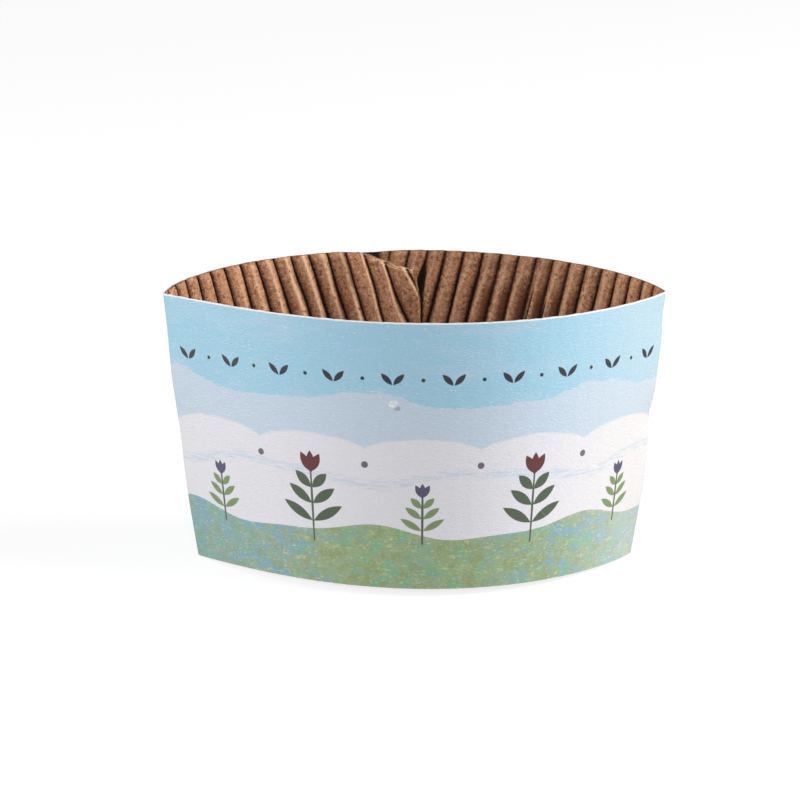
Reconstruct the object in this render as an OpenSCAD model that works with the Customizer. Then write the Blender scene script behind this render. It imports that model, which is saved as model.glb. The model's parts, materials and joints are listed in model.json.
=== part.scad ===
// Corrugated paper sleeve for a hot-drink cup, standing open.
// One white-faced liner with a fluted kraft medium on its inner face: an arc-shaped blank, folded at two
// creases and closed by a tapered glue flap that laps inside the other end at the back.

/* [Blank] */
// Height of the sleeve, along its slant
sleeve_h = 60; // [45:1:80]
// Width of the sleeve folded flat, along its top edge
flat_top_w = 133; // [125:1:150]
// Width of the sleeve folded flat, along its bottom edge
flat_bottom_w = 117; // [95:1:122]

/* [Opened shape] */
// Distance between the two creases at the top edge
mouth_w = 110; // [96:0.5:118]
// How much more the front bends towards its right crease
front_skew = 0.30; // [-0.6:0.05:0.6]
// How much more the front bends near its creases than in its middle
front_square = -0.95; // [-1.2:0.05:1.8]
// How much more the back bends towards its right crease
back_skew = -0.20; // [-0.6:0.05:0.6]
// How much more the back bends near its creases than in its middle
back_square = 1.4; // [-1.2:0.05:1.8]
// Length of board that the bend of a crease takes up on each panel
crease_reach = 1.2; // [0.9:0.1:2]

/* [Seam] */
// Distance of the seam's outer cut edge from the left crease, along the top edge
seam_from_crease = 55.5; // [35:0.5:70]
// Width of the glue flap inside the seam
flap_w = 12; // [8:1:24]
// How far the flap's corners are cut back from the top and bottom edges
flap_taper = 4.3; // [0:0.1:8]
// Length over which the board steps inwards to pass under the seam
joggle_l = 4; // [4:0.5:12]
// Share of their height by which the outer board's flutes are pressed flat at the seam's edge
press_share = 1; // [0:0.1:1]
// Length over which the pressing and the slip run out
press_l = 13; // [6:1:20]
// How far the outer board slips down at the seam's edge
seam_slip = 0.25; // [0:0.05:0.6]

/* [Board] */
// Thickness of the printed liner
liner_t = 0.3; // [0.2:0.05:0.5]
// Thickness of the fluted paper
medium_t = 0.3; // [0.2:0.05:0.4]
// Height of the flutes, with the paper
flute_h = 1.3; // [1:0.1:2]
// Distance from one flute to the next
flute_pitch = 4.1; // [3.5:0.01:6]
// Distance of the nearest ridge from the middle of the front panel
flute_shift = -1.5; // [-2:0.1:2]
// Glue line between the plies, and in the seam
glue_t = 0.1; // [0.08:0.01:0.2]
// Length over which the flutes are pressed flat on each side of a crease
crush_l = 5; // [3:0.5:7]

/* [Hidden] */

// Both arcs of the blank are drawn from one apex, and the folded sleeve is a cone about the same apex
top_r = sleeve_h * flat_top_w / (flat_top_w - flat_bottom_w);
bottom_r = top_r - sleeve_h;
mid_r = (top_r + bottom_r) / 2;

// Angles on the blank, from the middle of the front panel
crease_a = flat_top_w / 2 / top_r * 180 / PI;
mouth_a = asin(mouth_w / 2 / top_r);
flap_start_a = -crease_a - seam_from_crease / top_r * 180 / PI;
flap_end_a = flap_start_a - flap_w / top_r * 180 / PI;
seam_end_a = 3 * crease_a - seam_from_crease / top_r * 180 / PI;
joggle_a = joggle_l / mid_r * 180 / PI;
// The step inwards ends this far before the seam's outer edge
joggle_lead_a = 0.5 / mid_r * 180 / PI;
crease_reach_a = crease_reach / mid_r * 180 / PI;

board_t = liner_t + glue_t + flute_h;
lap_step = board_t + glue_t;
flute_rise = flute_h - medium_t;

// Steps in which a panel's bend is summed, and halvings that find how hard it bends
bend_steps = 60;
bend_halvings = 26;
// Samples of one flute, as shares of the pitch from its ridge
flute_samples = [0, 0.28, 0.42, 0.58, 0.72];
// How much broader the ridges are than the grooves
ridge_power = 5;
// Cells along a flute
flute_rows = 6;
// Number of flutes over which the lines of the sheet turn from the flutes to a crease
turn_flutes = 2;
// Least height of the sheet's last strip at each end, and least distance between two lines of the sheet
end_strip_h = 0.4;
least_step = 0.2;
// Width of the liner's facets: on the panels, at the creases and at the step inwards
panel_step = 2.4;
crease_step = 0.4;
joggle_step = 0.5;

liner_colour = "#c9dcea";
medium_colour = "#a98259";

function clamp01(x) = max(0, min(1, x));
function smooth(x) = let (c = clamp01(x)) c * c * (3 - 2 * c);
function mix(a, b, w) = a * (1 - w) + b * w;
function turn(p, a) = [p.x * cos(a) - p.y * sin(a), p.x * sin(a) + p.y * cos(a)];

// A panel is a curve between the two creases. x runs from -1 at the left crease to 1 at the right one, and
// its bend grows with skew * x and with square * (x^2 - 1/3).
function bend(x, skew, square) = x + skew * x * x / 2 + square * (x * x * x - x) / 3;
function panel_path(k, skew, square) =
    let (step = 2 * crease_a / bend_steps)
    [for (i = 0, p = [0, 0]; i <= bend_steps;
          a = k * bend(-1 + (2 * i + 1) / bend_steps, skew, square),
          p = p + step * [cos(a), sin(a)],
          i = i + 1) p];
function panel_span(k, skew, square) = norm(panel_path(k, skew, square)[bend_steps]);
function solve_bend(skew, square, low, high, n) =
    let (k = (low + high) / 2)
    n == 0 ? k
    : panel_span(k, skew, square) > 2 * mouth_a ? solve_bend(skew, square, k, high, n - 1)
    : solve_bend(skew, square, low, k, n - 1);

// A solved panel: [bend, turn that lays its span along x, tables of x and y]. side is -1 for the front
// and 1 for the back.
function panel(side, skew, square) =
    let (k = solve_bend(skew, square, 1, 150, bend_halvings),
         raw = panel_path(k, skew, square),
         last = raw[bend_steps],
         lay = -atan2(last.y, last.x),
         pts = [for (p = raw) turn(p, lay) - [mouth_a, 0]])
    [k, lay, [for (i = [0:bend_steps]) [-1 + 2 * i / bend_steps, pts[i].x]],
     [for (i = [0:bend_steps]) [-1 + 2 * i / bend_steps, -side * pts[i].y]], side, skew, square];
front = panel(-1, front_skew, front_square);
back = panel(1, back_skew, back_square);

function panel_point(p, x) = [lookup(x, p[2]), lookup(x, p[3])];
function panel_heading(p, x) = -p[4] * (p[0] * bend(x, p[5], p[6]) + p[1]);

// The folded blank seen along the cone's axis: [x, y, heading] at the angle a on the blank, in degrees.
// It runs from the flap to the left crease, across the front and back from the right crease to the seam.
function fold_flat(a) =
    abs(a) <= crease_a ? let (x = a / crease_a) concat(panel_point(front, x), panel_heading(front, x))
    : let (x = a > 0 ? 2 - a / crease_a : -2 - a / crease_a)
      concat(panel_point(back, x), panel_heading(back, x) + 180);

// The same with each crease rounded by a parabola over its reach
function fold(a) =
    let (c = a > 0 ? crease_a : -crease_a, w = (a - c + crease_reach_a) / (2 * crease_reach_a))
    w <= 0 || w >= 1 ? fold_flat(a)
    : let (p0 = fold_flat(c - crease_reach_a), p1 = [c > 0 ? mouth_a : -mouth_a, 0],
           p2 = fold_flat(c + crease_reach_a),
           from = [p0.x, p0.y], to = [p2.x, p2.y],
           at = mix(mix(from, p1, w), mix(p1, to, w), w),
           along = mix(p1 - from, to - p1, w))
      [at.x, at.y, atan2(along.y, along.x)];

// Direction of a ray from the apex through a point of that view, whose distance from the axis is an angle
function ray(p) = let (r = norm(p)) r < 0.0001 ? [0, 0, 1] : [p.x * sin(r) / r, p.y * sin(r) / r, cos(r)];

// Point of the folded sleeve: blank angle a, distance r from the apex, depth in from the outer face
function cone_point(a, r, depth) =
    let (f = fold(a), at = [f.x, f.y], tiny = 0.01 * [cos(f.z), sin(f.z)],
         along = ray(at + tiny) - ray(at - tiny), inward = cross(ray(at), along))
    r * ray(at) + depth * inward / norm(inward);

// How near a place is to the seam's outer cut edge: 1 on it, and 0 from press_l on
function near_seam(a) = a < 0 ? 0 : 1 - smooth((seam_end_a - a) * PI / 180 * mid_r / press_l);
// How far the flutes are pressed flat there
function press(a) = press_share * near_seam(a);

// Step inwards of the board: one arc each way where it passes under the seam, and the pressing outside it
function s_curve(x) = let (c = clamp01(x)) c < 0.5 ? 2 * c * c : 1 - 2 * (1 - c) * (1 - c);
function step_in(a) =
    lap_step * s_curve((flap_start_a + joggle_lead_a + joggle_a - a) / joggle_a) + flute_rise * press(a);

// Cut edges of the blank. The flap is cut back in a straight line from the seam's outer edge to its end.
function taper(a) = flap_taper * clamp01((flap_start_a - a) / (flap_start_a - flap_end_a));
function edge_top(a) = top_r - taper(a) - seam_slip * near_seam(a);
function edge_bottom(a) = bottom_r + taper(a) - seam_slip * near_seam(a);

// Angles of the liner's facets
function span(from, to, step) = let (n = ceil((to - from) / step)) [for (i = [0:n - 1]) mix(from, to, i / n)];
panel_step_a = panel_step / mid_r * 180 / PI;
crease_step_a = crease_step / mid_r * 180 / PI;
joggle_step_a = joggle_step / mid_r * 180 / PI;
joggle_from_a = flap_start_a + joggle_lead_a;
liner_angles = concat(
    span(flap_end_a, flap_start_a, panel_step_a),
    span(flap_start_a, joggle_from_a, panel_step_a),
    span(joggle_from_a, joggle_from_a + joggle_a, joggle_step_a),
    span(joggle_from_a + joggle_a, -crease_a - crease_reach_a, panel_step_a),
    span(-crease_a - crease_reach_a, -crease_a + crease_reach_a, crease_step_a),
    span(-crease_a + crease_reach_a, crease_a - crease_reach_a, panel_step_a),
    span(crease_a - crease_reach_a, crease_a + crease_reach_a, crease_step_a),
    span(crease_a + crease_reach_a, seam_end_a, panel_step_a), [seam_end_a]);

// The origin lies under the middle of the outer box, at the level of the lower tips of the creases
top_rim = [for (a = liner_angles) cone_point(a, edge_top(a), step_in(a))];
rim_x = [for (p = top_rim) p.x];
rim_y = [for (p = top_rim) p.y];
foot_z = min([for (a = liner_angles) cone_point(a, edge_bottom(a), step_in(a)).z]);
centre = [(min(rim_x) + max(rim_x)) / 2, (min(rim_y) + max(rim_y)) / 2, foot_z];
function sleeve_point(a, r, depth) = cone_point(a, r, step_in(a) + depth) - centre;

// Lines of the fluted sheet. They lie along the flutes, which are parallel to the middle of the front
// panel, and turn to the direction of a crease near it: [x at mid height, lean as x per unit of y].
mid_y = mid_r * cos(crease_a);
crease_x = mid_y * tan(crease_a);
function line_lean(x) =
    (x > 0 ? 1 : -1) * tan(crease_a) * max(0, 1 - abs(abs(x) - crease_x) / (turn_flutes * flute_pitch));
function line_x(line, y) = line[0] + line[1] * (y - mid_y);

// Heights at which a line meets the cut edges and the end rays, found by a few steps of substitution
function meet(line, y, top, n) =
    n == 0 ? y
    : let (x = line_x(line, y), a = atan2(x, y), r = top ? edge_top(a) : edge_bottom(a))
      meet(line, sqrt(r * r - x * x), top, n - 1);
function line_top(line) = meet(line, mid_y, true, 12);
function line_bottom(line) =
    max(meet(line, mid_y, false, 12), line[0] > 0 ? line[0] / tan(seam_end_a) : line[0] / tan(flap_end_a));

flap_corner_x = edge_top(flap_end_a) * sin(flap_end_a) - end_strip_h * tan(flap_end_a);
seam_corner_x = edge_top(seam_end_a) * sin(seam_end_a) - end_strip_h * tan(seam_end_a);
first_flute = floor((flap_corner_x - flute_shift) / flute_pitch);
last_flute = ceil((seam_corner_x - flute_shift) / flute_pitch);
flute_lines_x = [for (n = [first_flute:last_flute])
                 for (s = flute_samples) (n + s) * flute_pitch + flute_shift];
medium_lines = [for (x = concat([flap_corner_x],
                                [for (x = flute_lines_x)
                                 if (x > flap_corner_x + least_step && x < seam_corner_x - least_step) x],
                                [seam_corner_x]))
                [x, line_lean(x)]];

// Share of the flute height at x on the blank: 1 on a ridge, 0 where the sheet meets the liner
function flute_wave(x) = 1 - pow(0.5 - 0.5 * cos(360 * (x - flute_shift) / flute_pitch), ridge_power);
function crush(a, r) = smooth((abs(abs(a) - crease_a) * PI / 180 * r - crease_reach / 2) / crush_l);
function medium_depth(x, a, r) = liner_t + glue_t + flute_rise * flute_wave(x) * crush(a, r) * (1 - press(a));

// A thin sheet: each ring goes up its outer face and down its inner one, and neighbours are joined by
// triangles, as are the two ends
module sheet(rings) {
    size = len(rings[0]);
    last = (len(rings) - 1) * size;
    sides = [for (i = [0:len(rings) - 2]) for (j = [0:size - 1])
             let (a = i * size + j, b = i * size + (j + 1) % size)
             each [[a, b, a + size], [b, b + size, a + size]]];
    first_end = [for (j = [0:size / 2 - 2])
                 each [[j, size - 1 - j, j + 1], [j + 1, size - 1 - j, size - 2 - j]]];
    last_end = [for (f = first_end) [f[0] + last, f[2] + last, f[1] + last]];
    polyhedron([for (r = rings) each r], concat(sides, first_end, last_end), convexity = 10);
}

module printed_liner() {
    color(liner_colour)
        sheet([for (a = liner_angles)
               [sleeve_point(a, edge_bottom(a), 0), sleeve_point(a, edge_top(a), 0),
                sleeve_point(a, edge_top(a), liner_t), sleeve_point(a, edge_bottom(a), liner_t)]]);
}

module fluted_medium() {
    rings = [for (line = medium_lines)
             let (low = line_bottom(line), high = line_top(line),
                  pairs = [for (j = [0:flute_rows])
                           let (y = mix(low, high, j / flute_rows), x = line_x(line, y),
                                a = atan2(x, y), r = norm([x, y]), depth = medium_depth(x, a, r))
                           [sleeve_point(a, r, depth), sleeve_point(a, r, depth + medium_t)]])
             concat([for (p = pairs) p[0]], [for (j = [flute_rows:-1:0]) pairs[j][1]])];
    color(medium_colour) sheet(rings);
}

printed_liner();
fluted_medium();
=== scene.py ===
"""Looks of a corrugated paper cup sleeve that stands open.

The sleeve is an arc-shaped blank of two glued plies, a white-faced printed liner and a fluted kraft paper,
folded at two creases and lapped at the back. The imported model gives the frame. This script works out the
same folded blank with numpy, dresses both plies as fine meshes with procedural paper materials, and sets up
a plain white studio with the camera at the photograph's angle.
"""

from __future__ import annotations

import json
import logging
import math
from dataclasses import dataclass, field
from enum import Enum
from functools import reduce
from typing import Iterable, Mapping, Sequence, Union

import bpy
import numpy as np
from mathutils import Matrix, Vector

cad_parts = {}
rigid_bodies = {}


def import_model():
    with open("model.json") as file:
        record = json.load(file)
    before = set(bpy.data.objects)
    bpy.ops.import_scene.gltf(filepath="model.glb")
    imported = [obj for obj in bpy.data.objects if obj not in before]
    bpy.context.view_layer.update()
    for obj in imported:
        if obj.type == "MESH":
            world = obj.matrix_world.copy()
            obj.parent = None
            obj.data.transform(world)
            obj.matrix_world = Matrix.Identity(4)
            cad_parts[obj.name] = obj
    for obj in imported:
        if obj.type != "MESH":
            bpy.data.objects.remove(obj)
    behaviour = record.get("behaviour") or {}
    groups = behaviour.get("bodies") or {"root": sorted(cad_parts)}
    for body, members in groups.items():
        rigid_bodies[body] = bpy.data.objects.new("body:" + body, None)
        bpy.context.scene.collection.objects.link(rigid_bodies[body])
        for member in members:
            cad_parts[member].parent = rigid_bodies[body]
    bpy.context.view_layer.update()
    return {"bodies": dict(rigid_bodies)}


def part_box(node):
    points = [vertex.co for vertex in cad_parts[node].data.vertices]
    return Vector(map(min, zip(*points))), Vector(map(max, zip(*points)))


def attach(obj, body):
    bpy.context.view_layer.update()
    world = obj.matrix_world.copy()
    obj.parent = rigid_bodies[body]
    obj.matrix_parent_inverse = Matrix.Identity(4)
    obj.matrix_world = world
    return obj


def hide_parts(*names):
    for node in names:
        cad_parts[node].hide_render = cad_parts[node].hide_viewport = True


LOG = logging.getLogger("cup_sleeve")
MM = 0.001
RELIEF = (0.16 * MM, 0.7)
WHITE = (1.0, 1.0, 1.0)

Array = np.ndarray
Pair = tuple[float, float]
Triple = tuple[float, float, float]
Socket = bpy.types.NodeSocket


class Side(Enum):
    """Side of the sleeve that a panel lies on, with the sign of its bulge along y."""

    FRONT = -1
    BACK = 1


@dataclass(frozen=True)
class Panel:
    """One panel of the opened sleeve, as a curve between the two creases.

    The bend at x, which runs from -1 at the left crease to 1 at the right one, is
    k * (1 + skew * x + square * (x^2 - 1/3)), so the heading is its integral.
    """

    side: Side
    skew: float
    square: float
    half_angle: float
    mouth_angle: float
    steps: int = 400
    halvings: int = 44

    def bend(self, x: Array) -> Array:
        """Heading at x for a bend of one: x + skew x^2 / 2 + square (x^3 - x) / 3."""
        return x + self.skew * x * x / 2 + self.square * (x**3 - x) / 3

    def _path(self, k: float) -> Array:
        """Points of the curve from the left crease, as sums of even steps along the heading k * bend(x).

        Args:
            k: The panel's bend.

        Returns:
            The points, one row each, from the first to the last step.
        """
        x = -1 + (2 * np.arange(self.steps) + 1) / self.steps
        heading = k * self.bend(x)
        step = 2 * self.half_angle / self.steps
        moves = step * np.stack([np.cos(heading), np.sin(heading)], axis=1)
        return np.concatenate([np.zeros((1, 2)), np.cumsum(moves, axis=0)])

    def solve(self) -> tuple[float, float, Array]:
        """Finds the bend at which the flat panel spans the two creases.

        Returns:
            The bend, the turn that lays the span along x, and the points laid so.
        """
        low, high = 0.01, 2.6
        for _ in range(self.halvings):
            k = (low + high) / 2
            if np.hypot(*self._path(k)[-1]) > 2 * self.mouth_angle:
                low = k
            else:
                high = k
        points = self._path(k)
        lay = -math.atan2(points[-1, 1], points[-1, 0])
        c, s = math.cos(lay), math.sin(lay)
        x = points[:, 0] * c - points[:, 1] * s - self.mouth_angle
        y = -self.side.value * (points[:, 0] * s + points[:, 1] * c)
        return k, lay, np.stack([x, y], axis=1)


@dataclass(frozen=True)
class Blank:
    """The sleeve's blank and board, in millimetres, with the shape it is opened to."""

    height: float = 60.0
    flat_top: float = 133.0
    flat_bottom: float = 117.0
    mouth: float = 110.0
    front_bend: Pair = (0.30, -0.95)
    back_bend: Pair = (-0.20, 1.40)
    crease_reach: float = 1.2
    seam_from_crease: float = 55.5
    flap_width: float = 12.0
    flap_taper: float = 4.3
    joggle: float = 4.0
    joggle_lead: float = 0.5
    press: float = 13.0
    seam_slip: float = 0.25
    liner: float = 0.3
    medium: float = 0.3
    flute_height: float = 1.3
    pitch: float = 4.1
    flute_shift: float = -1.5
    glue: float = 0.1
    crush: float = 5.0

    @property
    def top_r(self) -> float:
        """Distance of the top edge from the blank's apex."""
        return self.height * self.flat_top / (self.flat_top - self.flat_bottom)

    @property
    def bottom_r(self) -> float:
        """Distance of the bottom edge from the blank's apex."""
        return self.top_r - self.height

    @property
    def mid_r(self) -> float:
        """Distance of the middle of the height from the blank's apex."""
        return (self.top_r + self.bottom_r) / 2

    @property
    def crease_a(self) -> float:
        """Angle of a crease from the middle of the front panel, in radians on the blank."""
        return self.flat_top / 2 / self.top_r

    @property
    def flap_start(self) -> float:
        """Angle at which the glue flap passes under the seam's outer edge."""
        return -self.crease_a - self.seam_from_crease / self.top_r

    @property
    def flap_end(self) -> float:
        """Angle of the flap's free end."""
        return self.flap_start - self.flap_width / self.top_r

    @property
    def seam_end(self) -> float:
        """Angle of the cut end that laps outside."""
        return 3 * self.crease_a - self.seam_from_crease / self.top_r

    @property
    def lap_step(self) -> float:
        """Depth of the step that the board makes to pass under the seam."""
        return self.liner + self.glue + self.flute_height + self.glue

    @property
    def flute_rise(self) -> float:
        """Height of the flutes above the sheet's thickness."""
        return self.flute_height - self.medium


class FoldMap:
    """Carries points of the flat blank onto the folded sleeve.

    A point of the blank is an angle and a distance from the apex. The distance is kept along a ray, and the
    ray's direction follows the two panels, so the map bends the paper and hardly stretches it.
    """

    TINY = 1e-4
    LEFT_SWAY = ((0, -0.5), (12, 0.0), (20, 0.1), (27, -0.1), (41, 0.3), (52, -0.1), (60, -0.2))
    RIGHT_SWAY = ((0, -0.4), (16, 0.3), (27, 0.0), (32, -0.6), (37, 0.1), (49, 0.0), (55, -0.5), (60, -0.4))
    SWAY_WIDTH = 5.0
    SPREAD, SLANT, SLANT_HEIGHT, SLANT_REACH = 0.6, 1.3, 7.0, 4.5

    def __init__(self, blank: Blank) -> None:
        """Solves both panels and finds the origin under the middle of the outer box.

        Args:
            blank: Sizes of the blank and its opened shape.
        """
        self.blank = blank
        self.mouth_a = math.asin(blank.mouth / 2 / blank.top_r)
        self._solved: dict[Side, tuple[Panel, float, float, Array]] = {}
        for side, (skew, square) in ((Side.FRONT, blank.front_bend), (Side.BACK, blank.back_bend)):
            panel = Panel(side, skew, square, blank.crease_a, self.mouth_a)
            self._solved[side] = (panel, *panel.solve())
        angles = np.linspace(blank.flap_end, blank.seam_end, 2400)
        rim = self._cone(angles, self.edge_top(angles), self.step_in(angles))
        foot = self._cone(angles, self.edge_bottom(angles), self.step_in(angles))
        middle = (rim[:, :2].min(axis=0) + rim[:, :2].max(axis=0)) / 2
        self.centre = np.array([*middle, foot[:, 2].min()])

    def _on_panel(self, side: Side, x: Array) -> tuple[Array, Array, Array]:
        """A panel's curve at x, from -1 to 1: the two coordinates seen along the axis, and the heading.

        Args:
            side: The panel.
            x: Places along it, from the left crease at -1.

        Returns:
            Both coordinates and the heading.
        """
        panel, k, lay, points = self._solved[side]
        grid = np.linspace(-1, 1, len(points))
        heading = -side.value * (k * panel.bend(x) + lay)
        return np.interp(x, grid, points[:, 0]), np.interp(x, grid, points[:, 1]), heading

    def _flat_fold(self, a: Array) -> tuple[Array, Array, Array]:
        """Places blank angles on the panels with sharp creases, seen along the axis.

        Args:
            a: Angles on the blank.

        Returns:
            Both coordinates, as angles from the axis, and the heading.
        """
        crease = self.blank.crease_a
        front = self._on_panel(Side.FRONT, a / crease)
        back = self._on_panel(Side.BACK, np.where(a > 0, 2 - a / crease, -2 - a / crease))
        on_front = np.abs(a) <= crease
        x, y = (np.where(on_front, front[i], back[i]) for i in (0, 1))
        return x, y, np.where(on_front, front[2], back[2] + math.pi)

    def _fold(self, a: Array) -> tuple[Array, Array, Array]:
        """The same with each crease rounded by a parabola over its reach.

        Args:
            a: Angles on the blank.

        Returns:
            Both coordinates, as angles from the axis, and the heading.
        """
        crease = np.where(a > 0, self.blank.crease_a, -self.blank.crease_a)
        reach = self.blank.crease_reach / self.blank.mid_r
        w = (a - crease + reach) / (2 * reach)
        sharp = self._flat_fold(a)
        before, after = self._flat_fold(crease - reach), self._flat_fold(crease + reach)
        tip = (np.where(crease > 0, self.mouth_a, -self.mouth_a), np.zeros_like(a))
        first = [before[i] * (1 - w) + tip[i] * w for i in (0, 1)]
        second = [tip[i] * (1 - w) + after[i] * w for i in (0, 1)]
        round_xy = [first[i] * (1 - w) + second[i] * w for i in (0, 1)]
        heading = np.arctan2(second[1] - first[1], second[0] - first[0])
        inside = (w > 0) & (w < 1)
        return (
            np.where(inside, round_xy[0], sharp[0]),
            np.where(inside, round_xy[1], sharp[1]),
            np.where(inside, heading, sharp[2]),
        )

    @staticmethod
    def _ray(x: Array, y: Array) -> Array:
        """Direction from the apex through a point whose distance from the axis is an angle."""
        r = np.hypot(x, y)
        k = np.sinc(r / math.pi)
        return np.stack([x * k, y * k, np.cos(r)], axis=-1)

    def _cone(self, a: Array, r: Array, depth: Array) -> Array:
        """Point at blank angle a, distance r from the apex, and depth in from the outer face.

        Args:
            a: Angle on the blank.
            r: Distance from the apex.
            depth: Depth in from the outer face.

        Returns:
            Points in millimetres, with the apex at 0 and the axis along z.
        """
        x, y, heading = self._fold(a)
        c, s = self.TINY * np.cos(heading), self.TINY * np.sin(heading)
        ray = self._ray(x, y)
        inward = np.cross(ray, self._ray(x + c, y + s) - self._ray(x - c, y - s))
        inward /= np.linalg.norm(inward, axis=-1, keepdims=True)
        return ray * np.asarray(r)[..., None] + inward * np.asarray(depth)[..., None]

    def press(self, a: Array) -> Array:
        """How far the flutes are pressed flat at the seam: 1 at the outer cut edge, smoothly down to 0."""
        b = self.blank
        return np.where(a < 0, 0.0, 1 - smooth_step(0.0, b.press, (b.seam_end - a) * b.mid_r))

    def step_in(self, a: Array) -> Array:
        """Depth of the board's outer face: two arcs of equal bend under the seam, and pressed over it.

        Args:
            a: Angle on the blank.

        Returns:
            The depth in millimetres, 0 away from the seam.
        """
        b = self.blank
        reach = b.joggle / b.mid_r
        c = np.clip((b.flap_start + b.joggle_lead / b.mid_r + reach - a) / reach, 0, 1)
        under = b.lap_step * np.where(c < 0.5, 2 * c * c, 1 - 2 * (1 - c) ** 2)
        return under + b.flute_rise * self.press(a)

    def taper(self, a: Array) -> Array:
        """How far the flap's edges are cut back: straight from nothing to the full taper at its end."""
        b = self.blank
        return b.flap_taper * np.clip((b.flap_start - a) / (b.flap_start - b.flap_end), 0, 1)

    def edge_top(self, a: Array) -> Array:
        """Distance of the top cut edge from the apex: the outer board slips down a little at the seam."""
        return self.blank.top_r - self.taper(a) - self.blank.seam_slip * self.press(a)

    def edge_bottom(self, a: Array) -> Array:
        """Distance of the bottom cut edge from the apex."""
        return self.blank.bottom_r + self.taper(a) - self.blank.seam_slip * self.press(a)

    def flap_spread(self, a: Array, r: Array) -> Array:
        """Turn that spreads and slants the flap's end, least at its corners.

        Args:
            a: Angle on the blank.
            r: Distance from the apex.

        Returns:
            The turn in radians, 0 away from the flap's end.
        """
        b = self.blank
        inside = np.minimum(self.edge_top(a) - r, r - self.edge_bottom(a)) / self.SLANT_HEIGHT
        near_end = smooth_step(self.SLANT_REACH, 0.0, (a - b.flap_end) * b.mid_r)
        return -(self.SPREAD + self.SLANT * np.clip(inside, 0, 1)) / b.mid_r * near_end

    def point(self, a: Array, r: Array, depth: Array) -> Array:
        """Place of a blank point on the folded sleeve, with its creases a little bent by handling.

        Args:
            a: Angle on the blank, in radians from the middle of the front panel.
            r: Distance from the apex, in millimetres.
            depth: Depth in from the outer face, in millimetres.

        Returns:
            Points in metres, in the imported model's frame.
        """
        place = self._cone(a, r, self.step_in(a) + depth) - self.centre
        place[..., 0] += self._sway(a, r)
        return place * MM

    def _sway(self, a: Array, r: Array) -> Array:
        """How far handling has moved a crease along x: by height, fading as a bell along the blank.

        Args:
            a: Angle on the blank.
            r: Distance from the apex.

        Returns:
            The shift along x in millimetres.
        """
        height = r - self.blank.bottom_r
        total = 0.0
        for side, knots in ((-1, self.LEFT_SWAY), (1, self.RIGHT_SWAY)):
            at, out = zip(*knots)
            away = (np.abs(a) - self.blank.crease_a) * self.blank.mid_r / self.SWAY_WIDTH
            total = total + side * np.interp(height, at, out) * np.exp(-away * away) * (side * a > 0)
        return total


class Fractal:
    """Seeded smooth noise on a grid of any two coordinates, as a sum of rounded lattices."""

    def __init__(self, seed: int) -> None:
        """Draws the lattice values from a seed, so that each run gives the same noise."""
        self._table = np.random.default_rng(seed).uniform(-1, 1, (256, 256))

    def at(self, u: Array, v: Array, octaves: int = 1) -> Array:
        """Interpolates the lattice with smooth steps and adds finer copies at half the strength each.

        Args:
            u: First coordinate, one lattice cell per unit.
            v: Second coordinate, one lattice cell per unit.
            octaves: How many lattices are added.

        Returns:
            Noise between about -1 and 1.
        """
        total = np.zeros(np.broadcast(u, v).shape)
        gain, norm = 1.0, 0.0
        for n in range(octaves):
            x, y = u * 2**n + 17.3 * n, v * 2**n + 5.1 * n
            i, j = np.floor(x).astype(int), np.floor(y).astype(int)
            fx, fy = x - i, y - j
            fx, fy = fx * fx * (3 - 2 * fx), fy * fy * (3 - 2 * fy)
            corner = [self._table[(i + p) % 256, (j + q) % 256] for p in (0, 1) for q in (0, 1)]
            near = corner[0] * (1 - fy) + corner[1] * fy
            far = corner[2] * (1 - fy) + corner[3] * fy
            total += gain * (near * (1 - fx) + far * fx)
            norm += gain
            gain /= 2
        return total / norm


def smooth_step(low: float, high: float, x: Array) -> Array:
    """Rises from 0 at low to 1 at high as 3 c^2 - 2 c^3."""
    c = np.clip((x - low) / (high - low), 0, 1)
    return c * c * (3 - 2 * c)


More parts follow.
